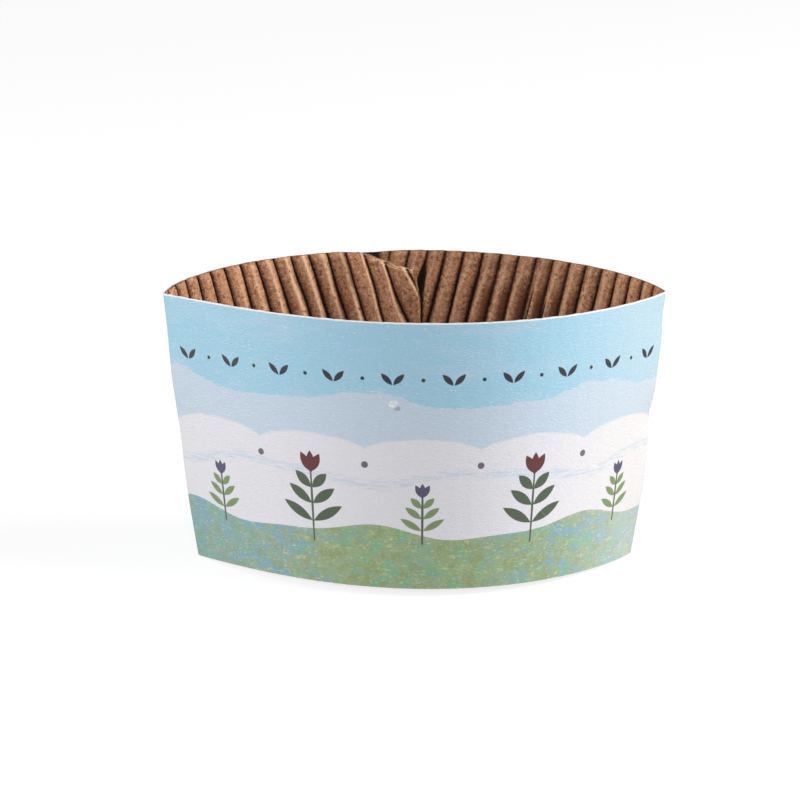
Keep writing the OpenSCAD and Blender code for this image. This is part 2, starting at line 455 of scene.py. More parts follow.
class PaperSheet:
    """Builds a closed thin sheet from two grids of points, one for each face."""

    FACE, BACK, EDGE = 0, 1, 2
    SHARP = math.radians(62)

    @staticmethod
    def build(name: str, face: Array, back: Array, uv: Array, marks: dict[str, Array]) -> bpy.types.Object:
        """Joins two grids of the same size by a strip round their border, with all faces turned outward.

        Args:
            name: Name of the piece.
            face: Outer face, columns by rows by 3, in metres, seen from outside with columns to the right.
            back: Inner face, of the same size.
            uv: Columns by rows by 2 texture coordinates, shared by both faces.
            marks: Float attributes by name, columns by rows, shared by both faces.

        Returns:
            The new object, linked to the scene, its faces numbered for material slots face 0, back 1 and
            edge 2.
        """
        cols, rows = face.shape[:2]
        grid = np.arange(cols * rows).reshape(cols, rows)
        a, b, c, d = grid[:-1, :-1], grid[1:, :-1], grid[1:, 1:], grid[:-1, 1:]
        outer = np.stack([a, b, c, d], axis=-1).reshape(-1, 4)
        inner = outer[:, ::-1] + grid.size
        border = np.concatenate([grid[0, :-1], grid[:-1, -1], grid[-1, :0:-1], grid[:0:-1, 0]])
        onward = np.roll(border, -1)
        edges = np.stack([border, onward, onward + grid.size, border + grid.size], axis=-1)
        parts = {PaperSheet.FACE: outer, PaperSheet.BACK: inner, PaperSheet.EDGE: edges}
        faces = np.concatenate(list(parts.values()))
        slots = np.repeat(list(parts), [len(part) for part in parts.values()])
        mesh = bpy.data.meshes.new(name)
        verts = np.concatenate([face.reshape(-1, 3), back.reshape(-1, 3)])
        mesh.from_pydata(verts.tolist(), [], faces.tolist())
        mesh.polygons.foreach_set("material_index", slots.astype(np.int32))
        mesh.polygons.foreach_set("use_smooth", np.ones(len(faces), bool))
        layer = mesh.uv_layers.new(name="blank")
        both = np.concatenate([uv.reshape(-1, 2)] * 2)
        layer.data.foreach_set("uv", both[faces.reshape(-1)].astype(np.float32).reshape(-1))
        for key, values in marks.items():
            mark = mesh.attributes.new(key, "FLOAT", "POINT")
            mark.data.foreach_set("value", np.concatenate([values.reshape(-1)] * 2).astype(np.float32))
        mesh.set_sharp_from_angle(angle=PaperSheet.SHARP)
        mesh.validate()
        mesh.update()
        piece = bpy.data.objects.new(name, mesh)
        bpy.context.scene.collection.objects.link(piece)
        return piece


def span(low: float, high: float, step: float) -> Array:
    """Even values from low up to, but without, high, no further apart than step."""
    count = max(1, math.ceil((high - low) / step))
    return low + (high - low) * np.arange(count) / count


@dataclass
class PrintedLiner:
    """The outer ply: white-faced paper, printed outside, folded at both creases and lapped at the seam."""

    fold: FoldMap
    panel_step: float = 0.45
    crease_step: float = 0.15
    joggle_step: float = 0.3
    rows: int = 24
    washboard: float = 0.012
    edge_wobble: float = 0.08
    flap_wobble: float = 0.16

    def _angles(self) -> Array:
        """Angles of the sheet's columns, closer together at the creases and at the step."""
        b = self.fold.blank
        reach = b.crease_reach / b.mid_r
        step_from = b.flap_start + b.joggle_lead / b.mid_r
        step_to = step_from + b.joggle / b.mid_r
        stops = [
            (b.flap_end, self.panel_step),
            (step_from, self.joggle_step),
            (step_to, self.panel_step),
            (-b.crease_a - reach, self.crease_step),
            (-b.crease_a + reach, self.panel_step),
            (b.crease_a - reach, self.crease_step),
            (b.crease_a + reach, self.panel_step),
        ]
        ends = [s[0] for s in stops[1:]] + [b.seam_end]
        parts = [span(low, high, step / b.mid_r) for (low, step), high in zip(stops, ends)]
        return np.concatenate([*parts, [b.seam_end]])

    def build(self) -> bpy.types.Object:
        """Makes the liner: both faces follow the fold map, with the flutes showing faintly on the outside.

        Returns:
            The liner's object, with its flat blank as UV: u across the whole blank, v up its height.
        """
        b = self.fold.blank
        noise = Fractal(11)
        a = self._angles()[:, None]
        t = np.linspace(0, 1, self.rows + 1)[None, :]
        low, high = self.fold.edge_bottom(a), self.fold.edge_top(a)
        ragged = self.edge_wobble + self.flap_wobble * smooth_step(0.2, 1.0, self.fold.taper(a))
        wobble = ragged * noise.at(a * b.mid_r / 1.2, 0 * a, 2)
        r = low + (high - low) * t - wobble * smooth_step(0.9, 1.0, t) + wobble * smooth_step(0.1, 0.0, t)
        a = a + self.fold.flap_spread(a, r)
        x = r * np.sin(a)
        ripple = self.washboard * (1 - np.cos(2 * math.pi * (x - b.flute_shift) / b.pitch)) / 2
        face = self.fold.point(a, r, ripple)
        back = self.fold.point(a, r, b.liner + 0 * ripple)
        uv = np.stack([(a - b.flap_end) / (b.seam_end - b.flap_end), (r - b.bottom_r) / b.height], axis=-1)
        marks = {"flap": smooth_step(0.2, 0.8, self.fold.taper(a))}
        return PaperSheet.build("printed_liner_paper", face, back, uv, marks)


@dataclass(frozen=True)
class Wall:
    """Grids over the fluted sheet, a column for each line and a row for each height, in millimetres."""

    OPEN = (12.0, 45.0)
    NEAR_FLAP = (-84.0, -100.0)
    ON_FLAP = (-113.0, -120.0)

    x: Array
    y: Array
    a: Array
    r: Array
    down: Array
    up: Array
    from_crease: Array
    flute: Array
    own: Array

    @property
    def left(self) -> Array:
        """True on the left half."""
        return self.x < 0

    @property
    def across(self) -> Array:
        """Place across a flute, from -0.5 to 0.5 with 0 on its middle."""
        return self.flute - np.round(self.flute)

    @property
    def opened(self) -> Array:
        """0 by the creases and 1 on the open wall."""
        return smooth_step(*self.OPEN, self.from_crease)

    @property
    def on_flap(self) -> Array:
        """1 on the flap."""
        return smooth_step(*self.ON_FLAP, self.x)

    @property
    def sagging(self) -> Array:
        """1 on the flutes of the right half that sag below the rim."""
        return smooth_step(117.0, 110.0, self.x) * smooth_step(86.0, 94.0, self.x)


@dataclass
class FlutedMedium:
    """The inner ply: one sheet of kraft paper formed into flutes parallel to the middle of the front panel.

    The steepness, crown and lean_out hold the value on the left half and the one on the right half, fray the
    fine and the coarse one, and drift and the pleats pairs of a place along the blank and a length.
    """

    fold: FoldMap
    samples: int = 18
    rows: int = 34
    crowding: float = 0.72
    turn_flutes: float = 2.0
    steepness: Pair = (6.0, 4.0)
    steep_at_crease: float = 3.0
    crown: Pair = (0.85, 0.72)
    roof: float = 1.5
    lean_out: Pair = (0.14, 0.02)
    sag: float = 0.2
    # Place along the blank, in millimetres, of the painted shadow beside the flap's end.
    flap_end_shadow_at: float = 127.0
    unevenness: float = 0.22
    wander: float = 0.08
    kinks: float = 0.06
    end_strip: float = 0.15
    least_gap: float = 0.05
    meet_steps: int = 14
    fray: Pair = (0.07, 0.12)
    grain: float = 0.04
    pleat_width: float = 0.25
    edge_crowding: float = 0.75
    edge_crush: float = 0.5
    front_recess: float = 0.36
    slant: float = 0.04
    pivot_above: float = 20.0
    drift: tuple[Pair, ...] = (
        (-132, 1.4), (-120, 0.9), (-116, 0.6), (-104, 0.6), (-92, 0.3), (-81, 0.0),
        (-74, 0.1), (77, 0.3), (88, 0.0), (97, -0.3), (105, -0.5), (124, -0.3))
    pleats: tuple[Pair, ...] = ((101.4, 4.0), (97.9, 7.0))
    noise: Fractal = field(default_factory=lambda: Fractal(23))

    @property
    def mid_y(self) -> float:
        """Distance from the apex, along the middle flute, to the middle of the creases."""
        return self.fold.blank.mid_r * math.cos(self.fold.blank.crease_a)

    def _lines(self) -> tuple[Array, Array]:
        """Places of the sheet's lines at mid height, crowded at the grooves, and their lean.

        The flutes slant a little, turned about a line above the blank's middle. By a crease they turn to it.

        Returns:
            The places along x, and the lean as x per unit of y.
        """
        b = self.fold.blank
        first, last = (
            float(self.fold.edge_top(np.array(end))) * math.sin(end) - self.end_strip * math.tan(end)
            for end in (b.flap_end, b.seam_end)
        )
        share = np.arange(self.samples) / self.samples
        share = share + self.crowding * np.sin(2 * math.pi * share) / (2 * math.pi)
        flutes = np.arange(math.floor(first / b.pitch) - 1, math.ceil(last / b.pitch) + 2)
        plain = (flutes[:, None] + share[None, :]).reshape(-1) * b.pitch + b.flute_shift
        inner = plain + self._drift(plain)
        inner = inner[(inner > first + self.least_gap) & (inner < last - self.least_gap)]
        x = np.concatenate([[first], inner, [last]])
        crease_x = b.mid_r * math.sin(b.crease_a)
        near = np.maximum(0, 1 - np.abs(np.abs(x) - crease_x) / (self.turn_flutes * b.pitch))
        slant = self.slant * (1 - near)
        slant[[0, -1]] = 0
        return x - slant * self.pivot_above, np.sign(x) * math.tan(b.crease_a) * near + slant

    def _drift(self, x: Array) -> Array:
        """How far the flutes stand off their even places, in millimetres, between listed places."""
        return np.interp(x, *zip(*self.drift))

    def _meet(self, x: Array, lean: Array, top: bool) -> Array:
        """Height at which each line meets a cut edge, by a few steps of substitution.

        Args:
            x: Places of the lines at mid height.
            lean: Their lean, as x per unit of y.
            top: Whether the top edge is met, or else the bottom edge.

        Returns:
            Distance of the crossings along y.
        """
        y = np.full_like(x, self.mid_y)
        for _ in range(self.meet_steps):
            at = x + lean * (y - self.mid_y)
            a = np.arctan2(at, y)
            r = self.fold.edge_top(a) if top else self.fold.edge_bottom(a)
            y = np.sqrt(r * r - at * at)
        return y

    def _wall(self) -> Wall:
        """Lays out the sheet's lines from cut edge to cut edge and numbers the flutes along them.

        Returns:
            The grids, with rows crowded at both cut edges and the top edge frayed.
        """
        b, noise = self.fold.blank, self.noise
        x0, lean = self._lines()
        ends = np.where(x0 > 0, x0 / math.tan(b.seam_end), x0 / math.tan(b.flap_end))
        low, high = np.maximum(self._meet(x0, lean, False), ends), self._meet(x0, lean, True)
        at_mid = np.arctan2(x0, self.mid_y)
        high = high - self.front_recess * (np.abs(at_mid) < b.crease_a)
        high = high + self.fray[0] * noise.at(x0 / 0.35, 0 * x0, 2)
        high = high - self.fray[1] * noise.at(x0 / 1.1, 0 * x0 + 9, 2) * (self.fold.taper(at_mid) > 0)
        t = np.linspace(0, 1, self.rows + 1)[None, :]
        t = t - np.sin(2 * math.pi * t) / (2 * math.pi) * self.edge_crowding
        y = low[:, None] + (high - low)[:, None] * t
        x = x0[:, None] + lean[:, None] * (y - self.mid_y)
        a, r = np.arctan2(x, y), np.hypot(x, y)
        own_x = self._unslanted(x, y)
        flute = (own_x - b.flute_shift - self._drift(own_x)) / b.pitch
        flute = flute + self.wander * noise.at(x / b.pitch * 0.5, y / 16.0, 2)
        kinks = self.kinks * smooth_step(*Wall.NEAR_FLAP, x)
        flute = flute + kinks * noise.at(x / b.pitch * 0.7 + 31, y / 7.0)
        own = noise.at(np.round(flute) * 3.1, y / 30.0)
        from_crease = np.abs(np.abs(a) - b.crease_a) * r
        return Wall(x, y, a, r, high[:, None] - y, y - low[:, None], from_crease, flute, own)

    def _unslanted(self, x: Array, y: Array) -> Array:
        """Place along the blank with the flutes' slant taken off."""
        return x - self.slant * (y - self.mid_y - self.pivot_above)

    def _crest(self, wall: Wall) -> Array:
        """Place of each flute's crest across it: leaning out on the left, sagging on the right.

        Args:
            wall: The sheet's grids.

        Returns:
            The place in flutes from each one's middle.
        """
        sag = self.sag * (0.25 + 0.75 * smooth_step(14.0, 34.0, wall.from_crease))
        lean_right = self.lean_out[1] + sag * smooth_step(1.0, 12.0, wall.down)
        lean_left = self.lean_out[0] * wall.opened * (1 - 0.8 * wall.on_flap)
        return np.sign(wall.x) * np.where(wall.left, lean_left, lean_right) * (1 + 0.5 * wall.own)

    def _wave(self, wall: Wall, crest: Array) -> Array:
        """Height of a flute: 1 - crown q^n - (1 - crown) q^steep, q running from 0 at the crest to 1.

        The power n is 2, or less on the long side of a crest that leans, so that this side is flatter.

        Args:
            wall: The sheet's grids.
            crest: Place of the crests.

        Returns:
            The height, 1 on the crests and 0 in the grooves.
        """
        round_left = self.crown[0] * (0.3 + 0.7 * wall.opened) * (1 - 0.5 * wall.on_flap)
        crown = np.where(wall.left, round_left, self.crown[1]) * (1 + 0.2 * wall.own)
        crown = crown * (0.35 + 0.65 * smooth_step(0.0, 9.0, wall.down))
        steep_left = self.steep_at_crease + (self.steepness[0] - self.steep_at_crease) * wall.opened
        steep = np.where(wall.left, steep_left, self.steepness[1] + 1.5 * wall.own)
        p = wall.across
        long_side = (p > crest) == (crest < 0)
        power = np.where(long_side, 2 - (2 - self.roof) * np.clip(np.abs(crest) / 0.15, 0, 1), 2.0)
        q = np.abs(p - crest) / np.where(p > crest, 0.5 - crest, 0.5 + crest)
        return 1 - crown * q**power - (1 - crown) * q**steep

    def _pleat(self, wall: Wall) -> Array:
        """Depth of the pinched folds: a bell across each, deepening below its start."""
        return sum(
            np.exp(-(((wall.x - at) / self.pleat_width) ** 2)) * smooth_step(start, start + 5.0, wall.down)
            for at, start in self.pleats
        )

    def _rise(self, wall: Wall, wave: Array, crush: Array) -> Array:
        """Height of the sheet above the liner: uneven flutes, crushed at creases and at both cut edges.

        Args:
            wall: The sheet's grids.
            wave: Height of the flutes, 1 on their crests.
            crush: 1 where the flutes stand, 0 where they are crushed.

        Returns:
            The height in millimetres.
        """
        own = self.noise.at(np.round(wall.flute) * 1.7 + 40, wall.y / 18.0, 2)
        tall = 1 - self.unevenness * (0.5 + 0.5 * own)
        edge = 1 - self.edge_crush * (smooth_step(0.9, 0.1, wall.down) + smooth_step(0.9, 0.1, wall.up))
        pinch = 1 - 0.55 * self._pleat(wall)
        rise = self.fold.blank.flute_rise * wave * tall * crush * edge * pinch
        return np.maximum(rise + self.grain * wave * self.noise.at(wall.x / 0.9, wall.y / 2.5, 2), 0)

    def _marks(self, wall: Wall, wave: Array, crest: Array, crush: Array) -> dict[str, Array]:
        """What the kraft paper's shader reads.

        Args:
            wall: The sheet's grids.
            wave: Height of the flutes, 1 on their crests.
            crest: Place of the crests.
            crush: 1 where the flutes stand, 0 where they are crushed.

        Returns:
            "ridge" is 1 on ridges and 0 in grooves, lowered as painted shade in the pleats, in the hollow
            pressed at the seam, in the right crease and in a painted shadow beside the flap's end; "crest"
            is a painted highlight along the line where a ridge turns down; "shade" is painted shade in a
            band under the right rim and on the shaded side of the flutes that sag there; "flute" counts the
            flutes, and "torn" is the distance below the flap's top edge, or 9 elsewhere.
        """
        down, right = wall.down, ~wall.left
        # dark is painted shade: a painted shadow in the hollow where the flutes are pressed at the seam's
        # outer end, and painted shade in the right crease.
        dark = smooth_step(0.55, 0.85, self.fold.press(wall.a))
        dark += 0.7 * smooth_step(1.1, 0.3, wall.from_crease) * (wall.x > 0)
        # A painted shadow beside the flap's end, where the flap's thickness shades the outer board.
        flap_end_shadow_x = self.flap_end_shadow_at - 0.15 * np.maximum(down - 7.0, 0)
        flap_end_shadow = smooth_step(1.2, 0.5, np.abs(self._unslanted(wall.x, wall.y) - flap_end_shadow_x))
        dark += flap_end_shadow * smooth_step(2.0, 8.0, down)
        pale = 0.29 * right * np.maximum(smooth_step(8.0, 2.0, down), wall.sagging)
        # The material darkens the grooves as painted shade; pale lightens that painted groove shade under
        # the right rim and on the sagging flutes.
        ridge = 1 - (1 - np.clip(wave, 0, 1)) * (0.75 + 0.25 * crush)
        # band and under_rim are painted shade: on the shaded side of the sagging flutes, and in a band under
        # the right rim.
        band = 0.8 * wall.sagging * smooth_step(4.0, 11.0, down) * smooth_step(0.05, -0.06, wall.across)
        under_rim = 0.25 * smooth_step(7.0, 0.0, down) * wall.opened
        # line places the painted highlight along each crest, and shine sets how bright it is painted.
        line = (crest + np.where(wall.left, -0.05, 0.06)) * (1 - wall.on_flap) - 0.36 * wall.on_flap
        near_flap = smooth_step(*wall.NEAR_FLAP, wall.x)
        shine = np.where(wall.left, wall.opened * (1 + 0.5 * near_flap), 0.6)
        return {
            # The pleats and dark are taken off here as painted shade.
            "ridge": np.maximum(ridge, pale) - 0.8 * self._pleat(wall) - dark,
            "shade": right * np.maximum(under_rim, band),
            "crest": np.exp(-(((wall.across - line) / (0.09 - 0.04 * wall.on_flap)) ** 2)) * crush * shine,
            "flute": wall.flute,
            "torn": np.where(self.fold.taper(wall.a) > 0.2, down, 9.0),
        }

    def build(self) -> bpy.types.Object:
        """Makes the fluted sheet, with flutes that drift, lean and sag a little as real ones do.

        Returns:
            The sheet's object, with the marks that its material reads as float attributes.
        """
        b = self.fold.blank
        wall = self._wall()
        crest = self._crest(wall)
        wave = self._wave(wall, crest)
        start = b.crease_reach / 2
        crush = smooth_step(start, start + b.crush, wall.from_crease) * (1 - self.fold.press(wall.a))
        depth = b.liner + b.glue / 2 + self._rise(wall, wave, crush)
        a = wall.a + self.fold.flap_spread(wall.a, wall.r)
        face = self.fold.point(a, wall.r, depth)
        back = self.fold.point(a, wall.r, depth + b.medium)
        along = (wall.x - wall.x[0]) / (wall.x[-1] - wall.x[0])
        uv = np.stack([along, (wall.y - b.bottom_r + 20) / (b.height + 25)], axis=-1)
        return PaperSheet.build("fluted_kraft_sheet", face, back, uv, self._marks(wall, wave, crest, crush))


Number = Union[float, "Field"]


class Field:
    """A number that varies over a surface: a shader socket with the usual arithmetic."""

    def __init__(self, graph: "Graph", socket: Socket) -> None:
        """Wraps a graph's output that carries a number."""
        self.graph = graph
        self.socket = socket

    def __add__(self, other: Number) -> "Field":
        """Sum."""
        return self.graph.math("ADD", self, other)

    __radd__ = __add__

    def __sub__(self, other: Number) -> "Field":
        """Difference."""
        return self.graph.math("SUBTRACT", self, other)

    def __rsub__(self, other: Number) -> "Field":
        """Difference, the other way round."""
        return self.graph.math("SUBTRACT", other, self)

    def __mul__(self, other: Number) -> "Field":
        """Product."""
        return self.graph.math("MULTIPLY", self, other)

    __rmul__ = __mul__

    def __truediv__(self, other: Number) -> "Field":
        """Quotient."""
        return self.graph.math("DIVIDE", self, other)

    def __abs__(self) -> "Field":
        """Size without its sign."""
        return self.graph.math("ABSOLUTE", self)


Paint = Union[Triple, Socket]
Inputs = Union[Mapping[Union[str, int], Union[Number, Paint]], Iterable[tuple[int, Number]]]


def srgb(red: int, green: int, blue: int) -> Triple:
    """Linear colour of three screen values from 0 to 255."""
    def one(value: int) -> float:
        """Linear value of one channel."""
        c = value / 255
        return c / 12.92 if c <= 0.04045 else ((c + 0.055) / 1.055) ** 2.4

    return one(red), one(green), one(blue)


class Graph:
    """Writes the nodes of a material or a world as expressions.

    The Mix node has sockets of the same name for each data type, so those for colours go by number.
    """

    MIX_COVER, MIX_BELOW, MIX_ABOVE, MIX_RESULT = 0, 6, 7, 2

    def __init__(self, owner: Union[bpy.types.Material, bpy.types.World]) -> None:
        """Takes over the owner's nodes, starting from none."""
        owner.use_nodes = True
        self.owner = owner
        self.tree = owner.node_tree
        self.tree.nodes.clear()

    def _feed(self, socket: Socket, value: Union[Number, Paint]) -> None:
        """Links a field or socket into a socket, or writes a plain value on it.

        Args:
            socket: The input that is fed.
            value: What it is fed; a colour gets an alpha of 1.
        """
        if isinstance(value, Field):
            self.tree.links.new(value.socket, socket)
        elif isinstance(value, bpy.types.NodeSocket):
            self.tree.links.new(value, socket)
        elif isinstance(value, tuple) and len(socket.default_value) == 4:
            socket.default_value = (*value, 1.0)
        else:
            socket.default_value = value

    def node(self, kind: str, inputs: Inputs = (), **settings: str) -> bpy.types.bpy_prop_collection:
        """Adds a node.

        Args:
            kind: Its type, without the words ShaderNode.
            inputs: What each input is fed, by its name or number.
            settings: Its own settings, made before the inputs are fed.

        Returns:
            The node's outputs.
        """
        node = self.tree.nodes.new("ShaderNode" + kind)
        for name, value in settings.items():
            setattr(node, name, value)
        for key, value in dict(inputs).items():
            self._feed(node.inputs[key], value)
        return node.outputs

    def math(self, kind: str, *values: Number) -> Field:
        """Result of one Math node on up to three numbers or fields."""
        return Field(self, self.node("Math", enumerate(values), operation=kind)[0])

    def low(self, *values: Number) -> Field:
        """The lowest of several fields."""
        return reduce(lambda a, b: self.math("MINIMUM", a, b), values)

    def high(self, *values: Number) -> Field:
        """The highest of several fields."""
        return reduce(lambda a, b: self.math("MAXIMUM", a, b), values)

    def ramp(self, value: Number, low: float, high: float) -> Field:
        """Rises smoothly from 0 at low to 1 at high, or falls where low is the larger.

        Args:
            value: The number that is read.
            low: Where the result is 0.
            high: Where the result is 1.

        Returns:
            A field from 0 to 1.
        """
        (start, first), (stop, last) = sorted([(low, 0.0), (high, 1.0)])
        inputs = {"Value": value, "From Min": start, "From Max": stop, "To Min": first, "To Max": last}
        return Field(self, self.node("MapRange", inputs, interpolation_type="SMOOTHSTEP")["Result"])

    def uv(self) -> tuple[Field, Field]:
        """The two coordinates of the piece's own UV map."""
        parts = self.node("SeparateXYZ", {0: self.node("UVMap", uv_map="blank")["UV"]})
        return Field(self, parts[0]), Field(self, parts[1])

    def object_place(self) -> Socket:
        """Object coordinates, in metres."""
        return self.node("TexCoord")["Object"]

    def attribute(self, name: str) -> Field:
        """A float attribute of the mesh."""
        return Field(self, self.node("Attribute", attribute_name=name)["Fac"])

    def vector(self, x: Number, y: Number, z: Number = 0.0) -> Socket:
        """Joins three numbers into a vector."""
        return self.node("CombineXYZ", enumerate((x, y, z)))[0]

    def noise(
        self, place: Socket, scale: float, detail: float, rough: float = 0.5, warp: float = 0.0
    ) -> Field:
        """Fractal noise between 0 and 1, about 0.5 on average.

        Args:
            place: The coordinates that it is read at.
            scale: Cells per unit of those coordinates.
            detail: Number of finer layers.
            rough: Strength of each finer layer.
            warp: How much the pattern is twisted.

        Returns:
            The noise as a field.
        """
        inputs = {"Vector": place, "Scale": scale, "Detail": detail, "Roughness": rough, "Distortion": warp}
        return Field(self, self.node("TexNoise", inputs)[0])

    def over(self, below: Paint, above: Paint, cover: Number, blend: str = "MIX") -> Socket:
        """The colour below, with the one above laid over it as far as the cover says, from 0 to 1."""
        inputs = {self.MIX_COVER: cover, self.MIX_BELOW: below, self.MIX_ABOVE: above}
        return self.node("Mix", inputs, data_type="RGBA", blend_type=blend)[self.MIX_RESULT]

    def coats(self, below: Paint, *coats: tuple[Paint, Number]) -> Socket:
        """A colour with several others laid over it in turn, each with its cover."""
        return reduce(lambda ink, coat: self.over(ink, *coat), coats, below)

    def bump(self, height: Field, depth: float, strength: float) -> Socket:
        """Bump normal from a height field, with its depth in metres."""
        return self.node("Bump", {"Strength": strength, "Distance": depth, "Height": height})["Normal"]

    def paper(self, colour: Paint, rough: Number, normal: Socket, gloss: float = 0.5) -> bpy.types.Material:
        """The finished paper material, from its base colour, roughness, bumped normal and specular level."""
        inputs = {"Base Color": colour, "Roughness": rough, "Normal": normal, "Specular IOR Level": gloss}
        return self.finish(self.node("BsdfPrincipled", inputs)["BSDF"])

    def finish(self, shader: Socket) -> Union[bpy.types.Material, bpy.types.World]:
        """Feeds the shader to the owner's surface, and gives the owner back."""
        kind = "OutputWorld" if isinstance(self.owner, bpy.types.World) else "OutputMaterial"
        self.node(kind, {"Surface": shader})
        return self.owner


@dataclass(frozen=True)
class PrintedFace:
    """The liner's outer face: a plain botanical border in sky, pale and meadow colours on white."""

    blank: Blank
    repeats: int = 10
    sky: Triple = srgb(163, 209, 231)
    sky_low: Triple = srgb(203, 217, 232)
    pale: Triple = srgb(234, 232, 237)
    sage: Triple = srgb(156, 178, 144)
    moss: Triple = srgb(146, 160, 112)
    teal: Triple = srgb(128, 184, 152)
    lake: Triple = srgb(132, 174, 190)
    lime: Triple = srgb(198, 206, 158)
    maroon: Triple = srgb(98, 46, 46)
    forest: Triple = srgb(80, 94, 74)
    olive: Triple = srgb(126, 148, 100)
    indigo: Triple = srgb(84, 80, 108)
    plum: Triple = srgb(112, 102, 118)
    charcoal: Triple = srgb(38, 40, 46)
    paper: Triple = srgb(250, 252, 250)
    board: Triple = srgb(92, 70, 56)
    ink_edge: float = 0.08

    @staticmethod
    def _turned(x: Field, y: Field, at: Pair, turn: float) -> tuple[Field, Field]:
        """Coordinates along and across a direction turned by some degrees, from a point in millimetres.

        Args:
            x: First coordinate.
            y: Second coordinate.
            at: The point.
            turn: The direction in degrees.

        Returns:
            The coordinates along and across.
        """
        c, s = math.cos(math.radians(turn)), math.sin(math.radians(turn))
        dx, dy = x - at[0], y - at[1]
        return dx * c + dy * s, dy * c - dx * s

    def _oval(self, g: Graph, x: Field, y: Field, at: Pair, size: Pair, turn: float = 0.0) -> Field:
        """Cover of an oval round a place: 1 where (along / a)^2 + (across / b)^2 is under 1.

        Args:
            g: The material's graph.
            x: First coordinate.
            y: Second coordinate.
            at: The oval's middle.
            size: Its half axes a and b.
            turn: Its turn in degrees.

        Returns:
            A field, 1 inside and 0 outside.
        """
        along, across = self._turned(x, y, at, turn)
        along, across = along / size[0], across / size[1]
        far = g.math("SQRT", along * along + across * across)
        soft = self.ink_edge / min(size)
        return g.ramp(far, 1 + soft, 1 - soft)

    def _leaf(self, g: Graph, x: Field, y: Field, root: Pair, size: Pair, turn: float) -> Field:
        """Cover of a pointed leaf: |across| under its width times 4 u (1 - u), u being 0 to 1 along it.

        Args:
            g: The material's graph.
            x: First coordinate.
            y: Second coordinate.
            root: Where the leaf starts.
            size: Its length and half width.
            turn: Its direction in degrees.

        Returns:
            A field, 1 inside and 0 outside.
        """
        along, across = self._turned(x, y, root, turn)
        u = along / size[0]
        edge = u * (1 - u) * (4 * size[1]) - abs(across)
        return g.ramp(edge, -self.ink_edge, self.ink_edge)

    def _cell(self, g: Graph, s: Field, pitch: float, shift: float) -> Field:
        """Folds the place along the border into one repeat, from minus half a pitch to half a pitch."""
        return g.math("WRAP", s - shift, -pitch / 2, pitch / 2)

    def _fields(self, g: Graph, s: Field, h: Field, pitch: float) -> Socket:
        """Sky, a lower sky and a pale scalloped field, with dry-brushed borders between them, and a painted
        sheen that pales and warms them towards the right end.

        Args:
            g: The material's graph.
            s: Millimetres along the blank.
            h: Millimetres up it.
            pitch: Length of one repeat.

        Returns:
            The colour.
        """
        turn = 2 * math.pi / pitch
        swell = g.math("SINE", s * (turn / 2)) * 1.5 + g.math("SINE", s * turn + 0.8) * 0.5
        brush = (g.noise(g.vector(s * 0.22, h * 1.1, 2.0), 0.6, 5, 0.6) - 0.5) * 3.2
        cloud = g.noise(g.vector(s * 0.5, h * 1.6, 9.0), 0.16, 3, 0.55)
        # The clouds, and a painted sheen that pales the sky towards the right end.
        clouds_and_sheen = g.high(g.ramp(cloud, 0.45, 0.75) * 0.35, g.ramp(s, 20.0, 62.0) * 0.5)
        sky = g.over(self.sky, self.sky_low, clouds_and_sheen)
        ink = g.over(sky, self.sky_low, g.ramp(h + swell + brush, 42.5, 42.1) * 0.95)
        across = self._cell(g, s, pitch, 0.0) / (pitch * 0.56)
        scallop = g.math("SQRT", g.high(0.0, 1.0 - across * across))
        ink = g.over(ink, self.pale, g.ramp(h - scallop * 4.6 - brush * 0.3, 29.9, 29.1))
        ribbon = abs(h - 25.0 - swell * 0.9 - brush * 0.3)
        streaks = g.ramp(g.noise(g.vector(s * 0.25, h * 2.6, 5.0), 0.8, 4, 0.65), 0.42, 0.6)
        ink = g.over(ink, self.sky_low, g.ramp(ribbon, 1.5, 0.6) * streaks * 0.8)
        # Painted sheen: the print warms towards the right end.
        return g.over(ink, (1.0, 0.98, 0.92), g.ramp(s, 20.0, 62.0), "MULTIPLY")

    def _meadow(self, g: Graph, ink: Paint, s: Field, h: Field, top: Field) -> Socket:
        """The green field at the foot, mottled as if rubbed on with dry chalk.

        Args:
            g: The material's graph.
            ink: The colour under it.
            s: Millimetres along the blank.
            h: Millimetres up it.
            top: Height of the field's top.

        Returns:
            The colour with the field on it.
        """
        green = self.sage
        for tone, (stretch, layer, scale), (low, high), cover in (
            (self.moss, (1.2, 3.0, 0.30), (0.46, 0.60), 0.75),
            (self.teal, (0.8, 1.0, 0.24), (0.52, 0.58), 0.85),
            (self.lake, (1.5, 7.0, 0.22), (0.50, 0.57), g.ramp(abs(s), 8.0, 40.0) * 0.6 + 0.3),
            (self.lime, (1.8, 11.0, 0.50), (0.55, 0.64), 0.75),
            (self.forest, (1.8, 15.0, 0.9), (0.64, 0.70), 0.3),
        ):
            patches = g.ramp(g.noise(g.vector(s, h * stretch, layer), scale, 8, 0.72, 0.3), low, high)
            green = g.over(green, tone, patches * cover)
        green = g.over(green, self.lake, g.ramp(s, -26.0, -56.0) * 0.35)
        green = g.over(green, self.pale, g.ramp(s, 28.0, 62.0) * 0.35)
        green = g.over(green, (1.0, 1.0, 0.86), g.ramp(abs(s), 34.0, 12.0), "MULTIPLY")
        return g.over(ink, green, g.ramp(top - h, -self.ink_edge, self.ink_edge))

